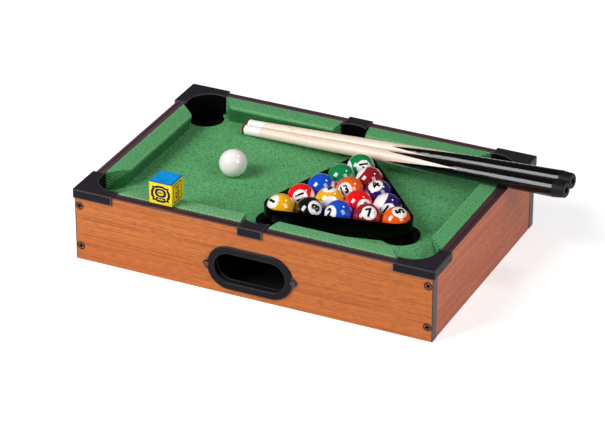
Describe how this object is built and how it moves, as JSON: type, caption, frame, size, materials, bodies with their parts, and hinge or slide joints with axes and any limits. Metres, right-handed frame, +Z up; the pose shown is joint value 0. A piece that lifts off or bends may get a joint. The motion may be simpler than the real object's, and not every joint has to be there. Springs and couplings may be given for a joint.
{
  "type": "table-top pool table set",
  "caption": "Small table-top pool table with cloth bed and cushions, moulded pockets, ball return, two cues, racked numbered balls, cue ball and chalk.",
  "frame": {"origin": "middle of the underside, on the surface the table stands on", "axes": "+X along the front towards the cue butts, +Y from the front board with the ball return to the rear, +Z up"},
  "size_m": [0.4016, 0.234, 0.0911],
  "materials": {
    "ball_yellow": "cast resin, polished, one colour with a white number disc",
    "stripe_blue": "cast resin, polished, coloured band on white with a number disc",
    "stripe_red": "cast resin, polished, coloured band on white with a number disc",
    "stripe_purple": "cast resin, polished, coloured band on white with a number disc",
    "stripe_orange": "cast resin, polished, coloured band on white with a number disc",
    "stripe_green": "cast resin, polished, coloured band on white with a number disc",
    "stripe_maroon": "cast resin, polished, coloured band on white with a number disc",
    "ball_blue": "cast resin, polished, one colour with a white number disc",
    "ball_red": "cast resin, polished, one colour with a white number disc",
    "ball_purple": "cast resin, polished, one colour with a white number disc",
    "ball_orange": "cast resin, polished, one colour with a white number disc",
    "ball_green": "cast resin, polished, one colour with a white number disc",
    "ball_maroon": "cast resin, polished, one colour with a white number disc",
    "ball_black": "cast resin, polished, one colour with a white number disc",
    "stripe_yellow": "cast resin, polished, coloured band on white with a number disc",
    "fibreboard": "raw fibreboard",
    "bed_cloth": "napped green cloth",
    "black_screw": "black oxide, satin",
    "chalk": null,
    "chalk_paper": null,
    "ball_white": "cast resin, polished",
    "cue_rubber": "black rubber",
    "cue_black_lacquer": "black lacquered wood",
    "cue_ferrule": "white, polished",
    "cue_maple": "lacquered maple",
    "cue_leather": "pressed leather, dark red",
    "cushion_cloth": "napped green cloth over a moulded cushion",
    "pocket_plastic": "charcoal moulding, fine satin grain",
    "panel_foil": "cherry-grain foil on fibreboard, satin",
    "rail_foil": "dark red-brown grain foil, satin",
    "black_edging": "black edge strip, satin",
    "rack_plastic": "black moulding, glossy",
    "bezel_plastic": "charcoal moulding, satin"
  },
  "bodies": {
    "table": {"bed_board": "fibreboard", "bed_cloth": "bed_cloth", "bezel_screws": "black_screw", "bottom_board": "fibreboard", "front_left_cushion": "cushion_cloth", "front_left_pocket": "pocket_plastic", "front_panel": "panel_foil", "front_rail_edging": "rail_foil", "front_right_cushion": "cushion_cloth", "front_right_pocket": "pocket_plastic", "front_side_pocket": "pocket_plastic", "left_cushion": "cushion_cloth", "left_panel": "panel_foil", "left_rail_edging": "rail_foil", "panel_end_edging": "black_edging", "panel_screws": "black_screw", "rear_left_cushion": "cushion_cloth", "rear_left_pocket": "pocket_plastic", "rear_panel": "panel_foil", "rear_rail_edging": "rail_foil", "rear_right_cushion": "cushion_cloth", "rear_right_pocket": "pocket_plastic", "rear_side_pocket": "pocket_plastic", "return_bezel": "bezel_plastic", "right_cushion": "cushion_cloth", "right_panel": "panel_foil", "right_rail_edging": "rail_foil"},
    "near_cue": {"near_cue_bumper": "cue_rubber", "near_cue_butt": "cue_black_lacquer", "near_cue_ferrule": "cue_ferrule", "near_cue_shaft": "cue_maple", "near_cue_tip": "cue_leather"},
    "far_cue": {"far_cue_bumper": "cue_rubber", "far_cue_butt": "cue_black_lacquer", "far_cue_ferrule": "cue_ferrule", "far_cue_shaft": "cue_maple", "far_cue_tip": "cue_leather"},
    "rack": {"rack": "rack_plastic"},
    "cue_ball": {"cue_ball": "ball_white"},
    "chalk": {"chalk_block": "chalk", "chalk_label": "chalk_paper"},
    "ball_1": {"ball_1": "ball_yellow"},
    "ball_2": {"ball_2": "ball_blue"},
    "ball_3": {"ball_3": "ball_red"},
    "ball_4": {"ball_4": "ball_purple"},
    "ball_5": {"ball_5": "ball_orange"},
    "ball_6": {"ball_6": "ball_green"},
    "ball_7": {"ball_7": "ball_maroon"},
    "ball_8": {"ball_8": "ball_black"},
    "ball_9": {"ball_9": "stripe_yellow"},
    "ball_10": {"ball_10": "stripe_blue"},
    "ball_11": {"ball_11": "stripe_red"},
    "ball_12": {"ball_12": "stripe_purple"},
    "ball_13": {"ball_13": "stripe_orange"},
    "ball_14": {"ball_14": "stripe_green"},
    "ball_15": {"ball_15": "stripe_maroon"}
  },
  "joints": [
    {"name": "near_cue_draw", "type": "slide", "parent": "table", "child": "near_cue", "axis": [0.991, -0.1042, 0.0839], "range_m": [0, 0.1]},
    {"name": "far_cue_draw", "type": "slide", "parent": "table", "child": "far_cue", "axis": [0.9931, -0.0816, 0.0839], "range_m": [0, 0.1]},
    {"name": "rack_slide", "type": "slide", "parent": "table", "child": "rack", "axis": [1, 0, 0], "range_m": [-0.045, 0]},
    {"name": "cue_ball_roll", "type": "slide", "parent": "table", "child": "cue_ball", "axis": [1, 0, 0], "range_m": [-0.058, 0.045]},
    {"name": "chalk_lift", "type": "slide", "parent": "table", "child": "chalk", "axis": [0, 0, 1], "range_m": [0, 0.05]},
    {"name": "ball_1_lift", "type": "slide", "parent": "rack", "child": "ball_1", "axis": [0, 0, 1], "range_m": [0, 0.04]},
    {"name": "ball_2_lift", "type": "slide", "parent": "rack", "child": "ball_2", "axis": [0, 0, 1], "range_m": [0, 0.04]},
    {"name": "ball_3_lift", "type": "slide", "parent": "rack", "child": "ball_3", "axis": [0, 0, 1], "range_m": [0, 0.04]},
    {"name": "ball_4_lift", "type": "slide", "parent": "rack", "child": "ball_4", "axis": [0, 0, 1], "range_m": [0, 0.04]},
    {"name": "ball_5_lift", "type": "slide", "parent": "rack", "child": "ball_5", "axis": [0, 0, 1], "range_m": [0, 0.04]},
    {"name": "ball_6_lift", "type": "slide", "parent": "rack", "child": "ball_6", "axis": [0, 0, 1], "range_m": [0, 0.04]},
    {"name": "ball_7_lift", "type": "slide", "parent": "rack", "child": "ball_7", "axis": [0, 0, 1], "range_m": [0, 0.04]},
    {"name": "ball_8_lift", "type": "slide", "parent": "rack", "child": "ball_8", "axis": [0, 0, 1], "range_m": [0, 0.04]},
    {"name": "ball_9_lift", "type": "slide", "parent": "rack", "child": "ball_9", "axis": [0, 0, 1], "range_m": [0, 0.04]},
    {"name": "ball_10_lift", "type": "slide", "parent": "rack", "child": "ball_10", "axis": [0, 0, 1], "range_m": [0, 0.04]},
    {"name": "ball_11_lift", "type": "slide", "parent": "rack", "child": "ball_11", "axis": [0, 0, 1], "range_m": [0, 0.04]},
    {"name": "ball_12_lift", "type": "slide", "parent": "rack", "child": "ball_12", "axis": [0, 0, 1], "range_m": [0, 0.04]},
    {"name": "ball_13_lift", "type": "slide", "parent": "rack", "child": "ball_13", "axis": [0, 0, 1], "range_m": [0, 0.04]},
    {"name": "ball_14_lift", "type": "slide", "parent": "rack", "child": "ball_14", "axis": [0, 0, 1], "range_m": [0, 0.04]},
    {"name": "ball_15_lift", "type": "slide", "parent": "rack", "child": "ball_15", "axis": [0, 0, 1], "range_m": [0, 0.04]}
  ]
}
